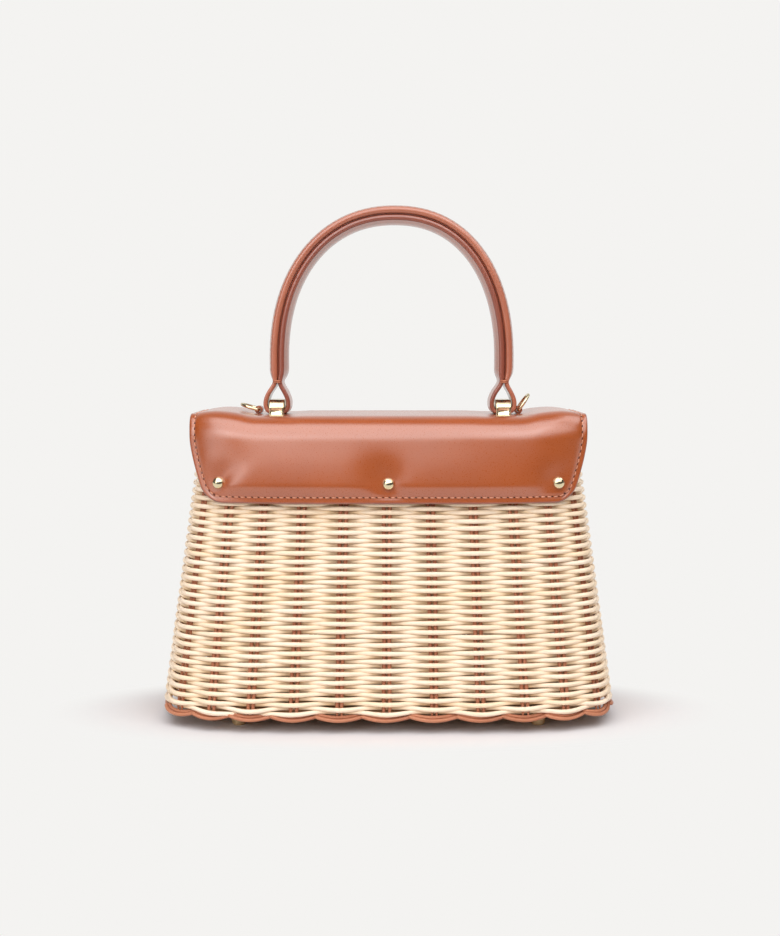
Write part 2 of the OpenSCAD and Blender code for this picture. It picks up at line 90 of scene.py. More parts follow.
# Strand: power of its swing, its height in pitches, its change of width and height at a stake and of
# height behind one, its tone, the spread of that from row to row and along a row, and the painted shade
# behind a stake
SWING_N, STRAND_H, THINNER, TALLER, TALLER_BEHIND = 1.25, 1.08, 0.15, 0.22, 0.35
STRAND_TONE, ROW_TONE, LONG_TONE, PAINTED_SHADE_BEHIND = 0.22, 0.09, 0.08, 0.65

# Borders: height, rise and step of the foot's two rods and their section, and the rim's line and rods
FOOT_Z, FOOT_STEP, FOOT_RISE = 7.75, 1.85, 2.2
FOOT_ROD_W, FOOT_ROD_H = 2.3, 2.2
# Arc of the foot's rods: its ends in steps of a stake, its power, the second rod's smaller rise, how far
# it stands out, the second rod's step back, and how far the ends of both and the right end are tucked in
FOOT_FROM, FOOT_TO, FOOT_N, RISE_LESS = -0.56, 0.6, 1.8, 0.6
FOOT_OUT, FOOT_BACK, FOOT_TUCK, TUCK_MORE, TUCK_RIGHT = 2.0, 1.2, 1.1, 0.9, 0.8
RIM_Z, RIM_ROD_D = 176.378, 2.4

# Flap: its section of rear face, bend, lid, bend and front face, its half width, what it loses down a
# face, its corners, its leather, and the share by which it is drawn in towards the sides
LID_Z, BEND_R, BEND_Z, LEAN = 184.8, 15.0, 169.8, np.radians(5.2482)
REAR_Y, FRONT_Y = -33.581, 37.8991
REAR_FACE, FRONT_FACE = 35.8222, 46.0652
BEND = BEND_R * (np.pi / 2 - LEAN)
TOP_START = REAR_FACE + BEND
TOP_END = TOP_START + FRONT_Y - REAR_Y
FRONT_START = TOP_END + BEND
FLAP_L = FRONT_START + FRONT_FACE
FLAP_HW, FLAP_TAPER, TAPER_N, FLAP_CORNER, FLAP_T = 117.1, 10.0, 1.4, 9.0, 2.5
BOW_SHARE = 0.288179

# Puff of the flap: rise of the lid and of its two ends, bellies of the faces, and the seam's groove
LID_RISE, END_RISE, END_PUFF = 0.45, 0.9, 2.3
REAR_BELLY, FRONT_BELLY, BELLY_LOW, BELLY_L = 3.0, 1.7, 10.0, 46.0
GROOVE, GROOVE_W = 0.35, 0.9
# Where the puff starts and where it is full: on the lid from the rear and the front edge, beside a bridge
# and towards the lid's ends, and how quickly it grows inside the seam
LID_REAR, LID_FRONT, BESIDE_BRIDGE, LID_ENDS = (28.0, 62.0), (38.0, 72.0), (8.0, 21.0), (72.0, 106.0)
PUFF_GROWS = 7.0

# Studs: places and turns, the head's radius and height, their height above the flap's edge, and the
# creases there
STUDS = np.array([[-99.6, -43.5498, 146.259], [0.0, -50.8567, 146.259], [99.6, -43.5498, 146.259]])
STUD_TURN = np.radians([-17.4921, 0.0, 17.4921])
STUD_R, STUD_H = 3.65, 3.1
STUD_UP, STUD_LEAN = 10.8, (0.35, -0.3, 0.1)
CREASE_LEFT, CREASE_RIGHT, CREASE_WIDEN, CREASE_TALL = 14.0, 6.0, 0.45, 15.0

# Seams: inset and pitch, length and thickness of a stitch, and length and width of a punched hole
SEAM_IN, SEAM_PITCH, STITCH_L, STITCH_D = 2.8, 3.8, 3.0, 0.85
HOLE_L, HOLE_W = 1.7, 1.0
SEW_IN, SEW_PITCH, SEW_L, SEW_D, SEW_SUNK = 2.9, 3.9, 3.1, 0.7, -0.25
KNOT_L, KNOT_D, KNOT_STEP = 5.4, 1.0, 0.45

# Handle: its squared elliptical arch, its knots, how far its eyes, legs and arch are set to the right, the
# heights between which the legs' shift sets in, and the strap's width and the rounding of its edges
HANDLE_X, ARCH_W, ARCH_H, ARCH_N = 68.6, 68.7, 87.2, 2.2
SPRING_Z, KNOT_Z = 218.0, 203.6
EYE_SHIFT, LEG_SHIFT, ARCH_SHIFT = 0.9, 1.0, 1.8
LEGS_FROM, LEGS_FULL = 196.0, 214.0
STRAP_W, EDGE_SHARE = 24.0, 0.44
# Thickness and crown of the strap at the pinched knots, in the eyes, and in the outer layer, the line
# between the two layers and the inner layer, the height over which the pinch eases, and the gap of a
# layer from that line at the knots and above them
KNOT_STRAP, EYE_STRAP = (2.4, 0.4), (2.6, 0.4)
LAYERS = {1: (4.0, 1.5), 0: (0.0, 0.0), -1: (3.4, 2.1)}
PINCH_H, KNOT_GAP, GAP_MORE = 7.5, 0.1, 0.3
CORE_T, CORE_IN = 1.6, 2.2

# Metal: the bridges' width, reach, height, bar and legs, and the rings' bar, legs, corners and wire
BRIDGE_W, BRIDGE_Y, BRIDGE_TOP, BAR_Z, LEG_T = 9.0, 15.0, 193.6, 188.4, 2.5
BRIDGE_EDGE, PANEL_FRAME, PANEL_SUNK = 0.5, 1.3, 0.35
RING_X, RING_Z = 79.35, 187.35
RING_HALF, RING_LEG, RING_CORNER, RING_WIRE = 7.0, 4.0, 1.2, 2.0


# Meshes

def unit(v):
    """Each vector divided by its own length."""
    return v / np.linalg.norm(v, axis=-1, keepdims=True)


def run(line):
    """Length along a line of points up to each of them, for one line or several at once."""
    paces = np.linalg.norm(np.diff(line, axis=-2), axis=-1)
    return np.concatenate([np.zeros((*paces.shape[:-1], 1)), np.cumsum(paces, -1)], -1)


def step(v, low, high):
    """Smooth step from 0 at low to 1 at high."""
    t = np.clip((v - low) / (high - low), 0, 1)
    return t * t * (3 - 2 * t)


def bell(v):
    """Bell curve of the square."""
    return np.exp(-v ** 2)


def circle(sides, wide, high):
    """Ellipse of a full width and height, as points round it."""
    turn = np.arange(sides) / sides * 2 * np.pi
    return np.stack([wide / 2 * np.cos(turn), high / 2 * np.sin(turn)], -1)


def end_size(count, next_size):
    """Size of a rod at each station: closed to a point at both ends and given at the stations next to
    them."""
    size = np.ones(count)
    size[[1, -2]] = next_size
    size[[0, -1]] = 0
    return size[:, None, None]


def grid(points, round_rows, round_columns):
    """Skin over a grid of points, or over several grids at once: four neighbours make a face, and a
    round direction joins its last line to its first. The flat coordinates are the lengths along the
    middle row and the middle column, in mm."""
    points = points.reshape(-1, *points.shape[-3:])
    count, rows, columns = points.shape[:3]
    down, over = np.arange(rows - 1 + round_rows), np.arange(columns - 1 + round_columns)
    r, c = np.meshgrid(down, over, indexing="ij")
    r4, c4 = np.stack([r, r, r + 1, r + 1], -1), np.stack([c, c + 1, c + 1, c], -1)
    first = np.arange(count).reshape(-1, 1, 1) * rows * columns
    faces = (r4 % rows * columns + c4 % columns).reshape(1, -1, 4) + first
    looped = np.concatenate([points, points[:, :1]], 1)
    looped = np.concatenate([looped, looped[:, :, :1]], 2)
    flat = np.stack([run(looped[:, rows // 2])[:, c4], run(looped[:, :, columns // 2])[:, r4]], -1)
    return points.reshape(-1, 3), faces.reshape(-1, 4), flat.reshape(-1, 4, 2)


def sweep(path, across, up, section, closed):
    """Carries a closed section along a path: every point is the path's point plus the section's first
    coordinate times the direction across and its second times the direction up."""
    across, up = across[..., None, :], up[..., None, :]
    return grid(path[..., None, :] + section[..., 0:1] * across + section[..., 1:2] * up, closed, True)


def turned(profile, sides, place):
    """Turns a profile of radius and height about an axis: radius times the cosine and sine of the turn,
    carried by a 4x4 place."""
    turn = np.arange(sides) / sides * 2 * np.pi
    r, z = profile[:, 0:1], profile[:, 1:2]
    points = np.stack([r * np.cos(turn), r * np.sin(turn), z + 0 * turn], -1)
    return grid(points @ place[:3, :3].T + place[:3, 3], False, True)


def joined(*skins):
    """Several skins as one: the faces of each are numbered on from the points before it."""
    starts = np.cumsum([0] + [len(s[0]) for s in skins])
    return (np.concatenate([s[0] for s in skins]),
            np.concatenate([s[1] + k for s, k in zip(skins, starts)]),
            np.concatenate([s[2] for s in skins]))


def piece(name, skin, finishes, body=None, stands_for=(), finish_of=None, tone=None, weld=False):
    """Puts a skin into a smooth mesh at the origin, turns its faces outward if its volume comes out
    negative, and hangs it on a body. A face may have its finish's number, and a point its tone."""
    points, faces, flat = skin
    a, b, c, d = (points[faces[:, k]] for k in range(4))
    volume = np.einsum("ij,ij->i", a, np.cross(b, c)) + np.einsum("ij,ij->i", a, np.cross(c, d))
    if volume.sum() < 0:
        faces, flat = faces[:, ::-1], flat[:, ::-1]
    mesh = bpy.data.meshes.new(name)
    mesh.vertices.add(len(points))
    mesh.vertices.foreach_set("co", (points * MM).astype(np.float32).ravel())
    mesh.loops.add(faces.size)
    mesh.loops.foreach_set("vertex_index", faces.astype(np.int32).ravel())
    mesh.polygons.add(len(faces))
    mesh.polygons.foreach_set("loop_start", np.arange(0, faces.size, 4, dtype=np.int32))
    mesh.polygons.foreach_set("use_smooth", np.ones(len(faces), bool))
    if finish_of is not None:
        mesh.polygons.foreach_set("material_index", finish_of.astype(np.int32))
    mesh.update(calc_edges=True)
    mesh.uv_layers.new(name="flat").data.foreach_set("uv", (flat * MM).astype(np.float32).ravel())
    if tone is not None:
        tones = mesh.attributes.new("tone", "FLOAT", "POINT")
        tones.data.foreach_set("value", tone.astype(np.float32).ravel())
    if weld:
        shape = bmesh.new()
        shape.from_mesh(mesh)
        bmesh.ops.remove_doubles(shape, verts=shape.verts, dist=WELD)
        shape.to_mesh(mesh)
        shape.free()
    for finish in finishes:
        mesh.materials.append(finish)
    made = bpy.data.objects.new(name, mesh)
    bpy.context.scene.collection.objects.link(made)
    if body:
        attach(made, body)
    if stands_for:
        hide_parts(*stands_for)
    return made


# Finishes

def linear(code):
    """Linear colour of an sRGB hex value."""
    s = np.array([int(code[k:k + 2], 16) for k in (1, 3, 5)]) / 255
    return (*np.where(s <= 0.04045, s / 12.92, ((s + 0.055) / 1.055) ** 2.4), 1.0)


def fill(tree, node, inputs):
    """Fills a node's inputs: a socket is linked, any other value is set."""
    for key, value in inputs.items():
        if isinstance(value, bpy.types.NodeSocket):
            tree.links.new(value, node.inputs[key])
        else:
            node.inputs[key].default_value = value


def add(tree, kind, inputs=None, **settings):
    """Adds a shader node with its settings and its inputs filled, and gives its outputs."""
    made = tree.nodes.new("ShaderNode" + kind)
    for key, value in settings.items():
        setattr(made, key, value)
    fill(tree, made, inputs or {})
    return made.outputs


def between(tree, share, pale, deep):
    """Colour between two hex values, by a share."""
    return add(tree, "Mix", {"Factor": share, 6: linear(pale), 7: linear(deep)}, data_type="RGBA")[2]


def ramp(tree, value, low, high, start=0.0, end=1.0):
    """Value brought evenly from between low and high to between start and end."""
    return add(tree, "MapRange", {"Value": value, "From Min": low, "From Max": high,
                                  "To Min": start, "To Max": end})["Result"]


def per(size):
    """Pattern scale of a feature that is so many millimetres long."""
    return 1 / (size * MM)


def finish(name, **values):
    """A new material and its shader, with the values that are the same all over set on the shader."""
    made = bpy.data.materials.new(name)
    made.use_nodes = True
    shader = made.node_tree.nodes["Principled BSDF"]
    for key, value in values.items():
        shader.inputs[key.replace("_", " ")].default_value = value
    return made, made.node_tree, shader


def rattan(name, pale, deep, groove, roughness):
    """Rattan core, drawn through a die: round, satin, with long fibres and pores along it, and a tone of
    its own in each length."""
    made, tree, shader = finish(name, Specular_IOR_Level=0.35)
    flat = add(tree, "UVMap", uv_map="flat")
    along = add(tree, "Mapping", {"Vector": flat["UV"], "Scale": (per(0.45), per(17.0), 1.0)})
    fibre = add(tree, "TexNoise", {"Vector": along["Vector"], "Scale": 1.0, "Detail": 3.0})
    broad = add(tree, "Mapping", {"Vector": flat["UV"], "Scale": (per(8.0), per(36.0), 1.0)})
    patch = add(tree, "TexNoise", {"Vector": broad["Vector"], "Scale": 1.0, "Detail": 2.0})
    tone = add(tree, "Attribute", attribute_name="tone")
    mixed = add(tree, "Math", {0: tone["Fac"], 1: patch["Fac"]}, operation="ADD")
    share = ramp(tree, mixed["Value"], 0.55, 1.45)
    body = between(tree, share, pale, deep)
    pore = ramp(tree, fibre["Fac"], 0.56, 0.74, 0.0, 0.4)
    colour = add(tree, "Mix", {"Factor": pore, 6: body, 7: linear(groove)}, data_type="RGBA")
    gloss = ramp(tree, fibre["Fac"], 0.0, 1.0, roughness - 0.1, roughness + 0.14)
    relief = add(tree, "Bump", {"Height": fibre["Fac"], "Strength": 0.35, "Distance": 0.1 * MM})
    fill(tree, shader, {"Base Color": colour[2], "Roughness": gloss, "Normal": relief["Normal"]})
    return made


def hide(name, pale, deep, roughness, grain, depth, coat):
    """Leather that was dyed and plated smooth: fine creased grain, a soft gloss and clouded colour. The
    grain is drawn about twice as coarse as the real one, so that it shows."""
    made, tree, shader = finish(name, Specular_IOR_Level=1.0, Coat_Weight=coat, Coat_Roughness=0.27,
                                Coat_IOR=1.6)
    place = add(tree, "TexCoord")["Object"]
    cloud = add(tree, "TexNoise", {"Vector": place, "Scale": per(38.0), "Detail": 4.0, "Roughness": 0.55})
    cells = add(tree, "TexVoronoi", {"Vector": place, "Scale": per(grain)}, feature="DISTANCE_TO_EDGE")
    fine = add(tree, "TexNoise", {"Vector": place, "Scale": per(1.4 * grain), "Detail": 3.0})
    share = ramp(tree, cloud["Fac"], 0.3, 0.7)
    body = between(tree, share, pale, deep)
    gloss = ramp(tree, fine["Fac"], 0.0, 1.0, roughness - 0.06, roughness + 0.06)
    crease = ramp(tree, cells["Distance"], 0.0, 0.16)
    height = add(tree, "Math", {0: crease, 1: fine["Fac"]}, operation="ADD")
    relief = add(tree, "Bump", {"Height": height["Value"], "Strength": depth, "Distance": 0.1 * MM})
    fill(tree, shader, {"Base Color": body, "Roughness": gloss, "Normal": relief["Normal"]})
    return made


def plated(name, pale, deep, roughness):
    """Metal that was polished and plated: bright, with faint cloudy wear and hairline rubs. The rubs are
    drawn coarser than real ones, so that they show."""
    made, tree, shader = finish(name, Metallic=1.0)
    place = add(tree, "TexCoord")["Object"]
    cloud = add(tree, "TexNoise", {"Vector": place, "Scale": per(3.3), "Detail": 3.0})
    rub = add(tree, "Mapping", {"Vector": place, "Scale": (per(2.0), per(2.0), per(0.17))})
    hair = add(tree, "TexNoise", {"Vector": rub["Vector"], "Scale": 1.0, "Detail": 2.0})
    body = between(tree, cloud["Fac"], pale, deep)
    gloss = ramp(tree, hair["Fac"], 0.3, 0.7, roughness, roughness + 0.12)
    fill(tree, shader, {"Base Color": body, "Roughness": gloss})
    return made


def brushed(name, pale, deep, fuzz, roughness, sheen):
    """Napped or pressed fibre: fine fuzz that scatters light, with a mottled colour. The fuzz is drawn
    coarser than real fibres, so that it shows."""
    made, tree, shader = finish(name, Roughness=roughness, Sheen_Weight=sheen, Sheen_Roughness=0.5)
    place = add(tree, "TexCoord")["Object"]
    nap = add(tree, "TexNoise", {"Vector": place, "Scale": per(fuzz), "Detail": 5.0, "Roughness": 0.7})
    share = ramp(tree, nap["Fac"], 0.32, 0.68)
    body = between(tree, share, pale, deep)
    relief = add(tree, "Bump", {"Height": nap["Fac"], "Strength": 0.4, "Distance": 0.2 * MM})
    fill(tree, shader, {"Base Color": body, "Normal": relief["Normal"]})
    return made


def spun(name, pale, deep):
    """Waxed sewing thread: two plies laid in a slant, a little shiny, with painted shade that darkens the
    grooves between the plies.
    """
    made, tree, shader = finish(name, Roughness=0.5)
    flat = add(tree, "UVMap", uv_map="flat")
    slant = add(tree, "Mapping", {"Vector": flat["UV"], "Scale": (per(1.1), per(1.1), 1.0),
                                  "Rotation": (0.0, 0.0, 0.7)})
    ply = add(tree, "TexWave", {"Vector": slant["Vector"], "Scale": 1.0, "Distortion": 0.6})
    body = between(tree, ply["Fac"], deep, pale)
    relief = add(tree, "Bump", {"Height": ply["Fac"], "Strength": 0.5, "Distance": 0.1 * MM})
    fill(tree, shader, {"Base Color": body, "Normal": relief["Normal"]})
    return made


# Peeled core: pale straw, satin along its fibres, with painted shade, a deeper tone, where a strand passes
# behind a stake
natural_rattan = rattan("natural_rattan_core", "#FBE8D1", "#F4D6AB", "#D4AC7C", 0.5)
# The same core stained brown: chestnut, darker in its pores
stained_rattan = rattan("stained_rattan_core", "#C68464", "#A86749", "#74422C", 0.46)
# Hide dyed tan and plated smooth: warm orange brown under broad, soft highlights
tan_leather = hide("smooth_tan_leather", "#AC5014", "#A54B11", 0.29, 0.38, 0.07, 0.9)
# Cut edge, painted and rubbed: a smoother and pinker line than the leather beside it
edge_paint = hide("painted_leather_edge", "#BA6A4A", "#AF5F41", 0.36, 0.25, 0.02, 0.5)
# The same paint, darker: a thin dark outline on the flap, and painted shade on the handle's inner edges
# and in the groove between its layers
dark_edge_and_shade = hide("dark_edge_paint_and_painted_shade", "#97492F", "#8A4029", 0.36, 0.25, 0.02, 0.5)
# Split hide, brushed: matt beige that takes no highlight
suede = brushed("suede_lining", "#C9A180", "#B98C69", 0.38, 0.9, 0.35)
# Fibres pressed to a board: flat, mottled brown
fibreboard = brushed("pressed_fibreboard", "#A9845E", "#957049", 0.7, 0.82, 0.0)
# Twisted and waxed, in salmon: pale dashes along the flap's edge
thread = spun("waxed_salmon_thread", "#E0A184", "#C88466")
# Twisted and waxed, in tan: dashes that hardly stand out from the handle
tan_thread = spun("waxed_tan_thread", "#C47A5A", "#AE6546")
# Painted shade of a punched hole: a dark fleck between two stitches, standing for the shade inside the
# hole
hole_shade = brushed("painted_stitch_hole_shade", "#5A2817", "#43190D", 0.33, 0.8, 0.0)
# Brass polished and plated pale gold: sharp, bright reflections
pale_brass = plated("pale_gold_plated_brass", "#F0E4C6", "#E2CEA0", 0.1)
# Brass turned and left satin: a warm, blurred shine
satin_brass = plated("satin_brass", "#F4DDB4", "#E6C896", 0.5)
# Steel plated with zinc: cool grey with a dull shine
zinc = plated("zinc_plated_steel", "#CFCFCA", "#B4B5B2", 0.28)


# Basket

def wall(turn, z):
    """Middle surface of the wall: a squared ellipse, cosine and sine over the n-th root of the sum of
    their n-th powers, times a half width and half depth that shrink evenly with height. The two ends
    stand out a little more, by the square of how far they face sideways. Gives the point and the
    directions along the weave, up the wall and out of it."""
    def at(t, h):
        size = (np.abs(np.cos(t)) ** PLAN_N + np.abs(np.sin(t)) ** PLAN_N) ** (-1 / PLAN_N)
        rise = (h - WALL_Z) / WALL_H
        half_w = (BASE_W + (TOP_W - BASE_W) * rise) / 2 - CREST
        half_d = (BASE_D + (TOP_D - BASE_D) * rise) / 2 - CREST
        return np.stack([np.cos(t) * size * half_w, np.sin(t) * size * half_d, h + 0 * t], -1)
    along = unit(at(turn + 1e-3, z) - at(turn - 1e-3, z))
    up = unit(at(turn, z + 1.0) - at(turn, z))
    out = unit(np.cross(along, up))
    return at(turn, z) + END_OUT * out[..., :1] ** 2 * out, along, up, out


plan_turn = np.radians(270 + np.linspace(0, 360, 721))
plan_arc = run(wall(plan_turn, WALL_Z + WALL_H / 2 + 0 * plan_turn)[0])


def stake_turn(u, z):
    """Turn round the plan of stake number u at a height: even steps of arc, crowded towards the two ends
    by a sine that grows with height, and set a little to the right towards the ends by a squared sine.
    From the rear corners on they are set back round the ends, so that the outline runs between two
    stakes."""
    crowd = (CROWD + SPREAD * (z - WALL_Z) / WALL_H) * np.sin(4 * np.pi * u / STAKES)
    side = (u + STAKES / 2) % STAKES - STAKES / 2
    back = np.sign(side) * END_SHIFT * step(np.abs(side), END_FROM, END_FULL)
    back = back * np.minimum(1, (STAKES / 2 - np.abs(side)) / (STAKES / 4))
    right = ASKEW * np.sin(2 * np.pi * u / STAKES) ** 2
    arc = u / STAKES * plan_arc[-1] + crowd + back + right - STAKE_SHIFT
    return np.interp(arc % plan_arc[-1], plan_arc, plan_turn)


def wander(rows, u, size):
    """Slow unevenness of hand weaving: a sum of sines of the row and the stake with seeded phases."""
    total = 0
    for turns, climb, phase, weight in rng.uniform(-1, 1, (9, 4)):
        wave = np.round(3 + 6 * turns) * u / STAKES + 0.09 * (1.2 + climb) * rows + phase
        total = total + np.sin(2 * np.pi * wave) * weight
    return size * total / 2


def rods(name, paths, across, up, section, closed, core, tone, stands_for=()):
    """Sections carried along many paths as one piece of the basket, with a tone at each station."""
    piece(name, sweep(paths, across, up, section, closed), [core], "basket", stands_for,
          tone=np.repeat(tone[..., None], ROD_SIDES, -1))


def weavers(name, rows, stands_for=()):
    """Rows of weaving. Along a row the strand swings out and in as a power of the cosine of half a turn
    per stake, so it stays level between stakes, and the next row swings the other way. It is flattened a
    little at each stake, most behind it, and painted deeper in tone there as shade. Rows lie closer
    towards the top. The lowest rows dip where they pass in front, less from row to row, and sag at one
    stake."""
    steps = 10
    u = np.arange(STAKES * steps)[None, :] / steps
    r = np.asarray(rows, float)[:, None]
    cosine = np.cos(np.pi * (u + r))
    swing = np.sign(cosine) * np.abs(cosine) ** SWING_N
    behind = np.clip(-swing, 0, 1)
    at_stake = np.cos(np.pi * u) ** 2
    z = WALL_Z + (r + 0.5) * PITCH + ROW_LIFT + ROW_SWELL * np.sin(np.pi * (r + 0.5) / ROWS)
    z = z + wander(r, u, ROW_WANDER) + rng.normal(0, ROW_JITTER, r.shape)
    z = z - FOOT_DIP * DIP_KEPT ** r * np.clip(swing, -0.25, 1)
    z = z - SAG * np.exp(-((u - SAG_STAKE) / SAG_WIDE) ** 2 - r / SAG_ROWS)
    centre, _, up, out = wall(stake_turn(u + 0 * r, z), z)
    centre = centre + (WEAVE_OUT + WEAVE_SWING * swing)[..., None] * out
    wide = WEAVER_D - THINNER * at_stake + 0 * r
    high = PITCH * STRAND_H + TALLER * at_stake + TALLER_BEHIND * behind
    section = circle(ROD_SIDES, 1.0, 1.0) * np.stack([wide, high], -1)[..., None, :]
    tone = rng.normal(0, ROW_TONE, r.shape)
    tone = tone + LONG_TONE * np.sin(2 * np.pi * (3 * u / STAKES + rng.uniform(0, 1, r.shape)))
    # Painted shade: the tone is made deeper where the strand passes behind a stake
    tone = tone + STRAND_TONE + PAINTED_SHADE_BEHIND * behind
    rods(name, centre, out, up, section, True, natural_rattan, tone, stands_for)


def stake_rods():
    """Paired stakes: two rods side by side, straight up the wall at each stake's own turn, with rounded
    ends. They waver by a small sine of the height, and lie deeper at the corners, where the strands are
    drawn tight."""
    count = 26
    k = np.repeat(np.arange(STAKES), 2)[:, None]
    side = np.tile([-0.5, 0.5], STAKES)[:, None]
    z = np.linspace(WALL_Z - ROD_BELOW, RIM_Z + ROD_ABOVE, count)[None, :] + 0 * k
    centre, along, _, out = wall(stake_turn(k + 0 * z, z), z)
    waver = ROD_WAVER * np.sin(z / 23.0 + 2.4 * k + 3 * side)
    deep = WEAVE_OUT - ROD_SUNK * step(np.abs(out[..., :1]), 0.3, 0.7)
    centre = centre + (side * ROD_STEP + waver)[..., None] * along + deep * out
    section = circle(ROD_SIDES, ROD_D, ROD_DEEP) * end_size(count, 0.9)
    tone = rng.normal(0.5, 0.2, k.shape) + 0 * z
    rods("stake_rods", centre, along, out, section, False, stained_rattan, tone)


def foot_rods():
    """Foot border: from each stake two rods run on in one arc, low at the stake and rising with nearly
    the square of the distance. Both ends are tucked in under the weave, the right one behind the next
    arc."""
    count = 22
    k = np.repeat(np.arange(STAKES), 2)[:, None]
    rod = np.tile([0.0, 1.0], STAKES)[:, None]
    v = np.linspace(FOOT_FROM, FOOT_TO, count)[None, :]
    bow = np.abs(2 * v) ** FOOT_N
    z = FOOT_Z + FOOT_STEP * rod + (FOOT_RISE - RISE_LESS * rod) * bow + 0 * k
    centre, _, up, out = wall(stake_turn(k + v, z), z)
    tuck = (FOOT_TUCK + TUCK_MORE * rod) * bow
    reach = FOOT_OUT - FOOT_BACK * rod - tuck - TUCK_RIGHT * np.sin(np.pi * v)
    centre = centre + reach[..., None] * out
    section = circle(ROD_SIDES, FOOT_ROD_W, FOOT_ROD_H) * end_size(count, 0.85)
    tone = rng.normal(0.42, 0.16, k.shape) + 0 * z
    rods("foot_rods", centre, out, up, section, False, stained_rattan, tone,
         ["foot_border"])


def rim_rope():
    """Rim: three rods laid up as a rope, each turning once per stake about the rim's line."""
    steps = 12
    u = np.arange(STAKES * steps)[None, :] / steps
    strand = np.arange(3)[:, None] / 3
    z = RIM_Z + 0 * (u + strand)
    centre, _, up, out = wall(stake_turn(u + 0 * strand, z), z)
    lay = 2 * np.pi * (u + strand)
    centre = centre + (RIM_ROD_D / 2 * np.cos(lay))[..., None] * out
    centre = centre + (RIM_ROD_D / 2 * np.sin(lay))[..., None] * up
    section = circle(ROD_SIDES, RIM_ROD_D, RIM_ROD_D)
    tone = np.array([0.3, 0.5, 0.65])[:, None] + 0 * u
    rods("rim_rope", centre, out, up, section, True, stained_rattan, tone, ["rim_border"])


weavers("weavers_low", range(0, 23), ["wicker_basket"])
weavers("weavers_middle", range(23, 45))
weavers("weavers_high", range(45, ROWS))
stake_rods()
foot_rods()
rim_rope()


# Flap

def flap_half(s):
    """Half width of the flap at a length from its rear edge: full over the bends and the top, drawn in
    by a power of the drop down a face, and rounded by a quarter circle at the lower corners."""
    drop = np.maximum(REAR_FACE - s, s - FRONT_START)
    face = np.where(s < FLAP_L / 2, REAR_FACE, FRONT_FACE)
    into = np.clip(drop - face + FLAP_CORNER, 0, FLAP_CORNER)
    return (FLAP_HW - FLAP_TAPER * np.clip(drop / face, 0, 1) ** TAPER_N
            - FLAP_CORNER + np.sqrt(FLAP_CORNER ** 2 - into ** 2))


def flap_line(s):
    """Section of the flap in Y and Z: a leaning rear face, a bend, the flat lid, a bend and a leaning
    front."""
    turn = np.pi - LEAN - (s - REAR_FACE) / BEND_R
    ahead = np.pi / 2 - (s - TOP_END) / BEND_R
    rear, front = s - REAR_FACE, s - FRONT_START
    face_y, face_z = BEND_R * np.cos(LEAN), BEND_Z + BEND_R * np.sin(LEAN)
    zones = [s < REAR_FACE, s < TOP_START, s < TOP_END, s < FRONT_START]
    y = np.select(zones, [REAR_Y - face_y + rear * np.sin(LEAN), REAR_Y + BEND_R * np.cos(turn),
                          REAR_Y + s - TOP_START, FRONT_Y + BEND_R * np.cos(ahead)],
                  FRONT_Y + face_y + front * np.sin(LEAN))
    z = np.select(zones, [face_z + rear * np.cos(LEAN), BEND_Z + BEND_R * np.sin(turn),
                          LID_Z + 0 * s, BEND_Z + BEND_R * np.sin(ahead)],
                  face_z - front * np.cos(LEAN))
    return y, z


def flap_base(x, s):
    """The section carried across the bag, drawn in towards the sides by a power of X."""
    y, z = flap_line(s)
    return np.stack([x + 0 * s, y * (1 - BOW_SHARE * np.abs(x / FLAP_HW) ** PLAN_N), z + 0 * x], -1)


def belly(s):
    """Swell of a hanging face: it rises within ten millimetres of the lower edge, then dies away up the
    face as a half power, level at both ends."""
    t = np.clip((s - BELLY_LOW) / BELLY_L, 0, 1)
    return step(s, 0.5, BELLY_LOW) * (1 - t) ** 1.5 * (1 + 1.5 * t)


def flap_puff(x, s):
    """How far the soft leather stands off its pattern: raised at both ends of the lid and pressed flat
    under the bridges, with a belly down both faces, creased round each stud and sunk along the seam. A
    crease leans with its stud and is a bell across, wide on the left and widening upwards from narrow on
    the right."""
    over = np.abs(x)
    edge = np.minimum(np.minimum(flap_half(s) - over, s), FLAP_L - s)
    inside = 1 - np.exp(-np.clip(flap_half(s) - over - SEAM_IN, 0, None) / PUFF_GROWS)
    lid = step(s, *LID_REAR) * step(FLAP_L - s, *LID_FRONT)
    pressed = step(np.abs(over - HANDLE_X), *BESIDE_BRIDGE)
    top = lid * pressed * (LID_RISE + (END_RISE + END_PUFF * inside) * step(over, *LID_ENDS))
    rear = REAR_BELLY * inside * belly(s)
    front = FRONT_BELLY * inside * belly(FLAP_L - s)
    above = s - STUD_UP
    off = [x - p[0] - lean * above for p, lean in zip(STUDS, STUD_LEAN)]
    right = CREASE_RIGHT + CREASE_WIDEN * np.clip(above, 0, 20)
    creased = sum(bell(d / np.where(d < 0, CREASE_LEFT, right)) for d in off)
    creased = np.clip(creased * bell((above + 2.0) / CREASE_TALL), 0, 1)
    groove = GROOVE * bell((edge - SEAM_IN) / GROOVE_W)
    return np.maximum(top + front + rear * (1 - creased), 0) - groove


def normal_of(surface, x, s):
    """Normal of a surface of X and length, from its slopes across and along."""
    e = 0.05
    return unit(np.cross(surface(x + e, s) - surface(x - e, s), surface(x, s + e) - surface(x, s - e)))


def flap_skin(x, s):
    """The pattern moved out along its own normal by the puff."""
    return flap_base(x, s) + normal_of(flap_base, x, s) * flap_puff(x, s)[..., None]


def flap_stations(corner_count, count):
    """Lengths along the flap from edge to edge: even, and set by a quarter cosine at the rounded
    corners."""
    corner = FLAP_CORNER * (1 - np.cos(np.linspace(0, np.pi / 2, corner_count)))
    middle = np.linspace(FLAP_CORNER, FLAP_L - FLAP_CORNER, count)[1:-1]
    return np.concatenate([corner, middle, FLAP_L - corner[::-1]])


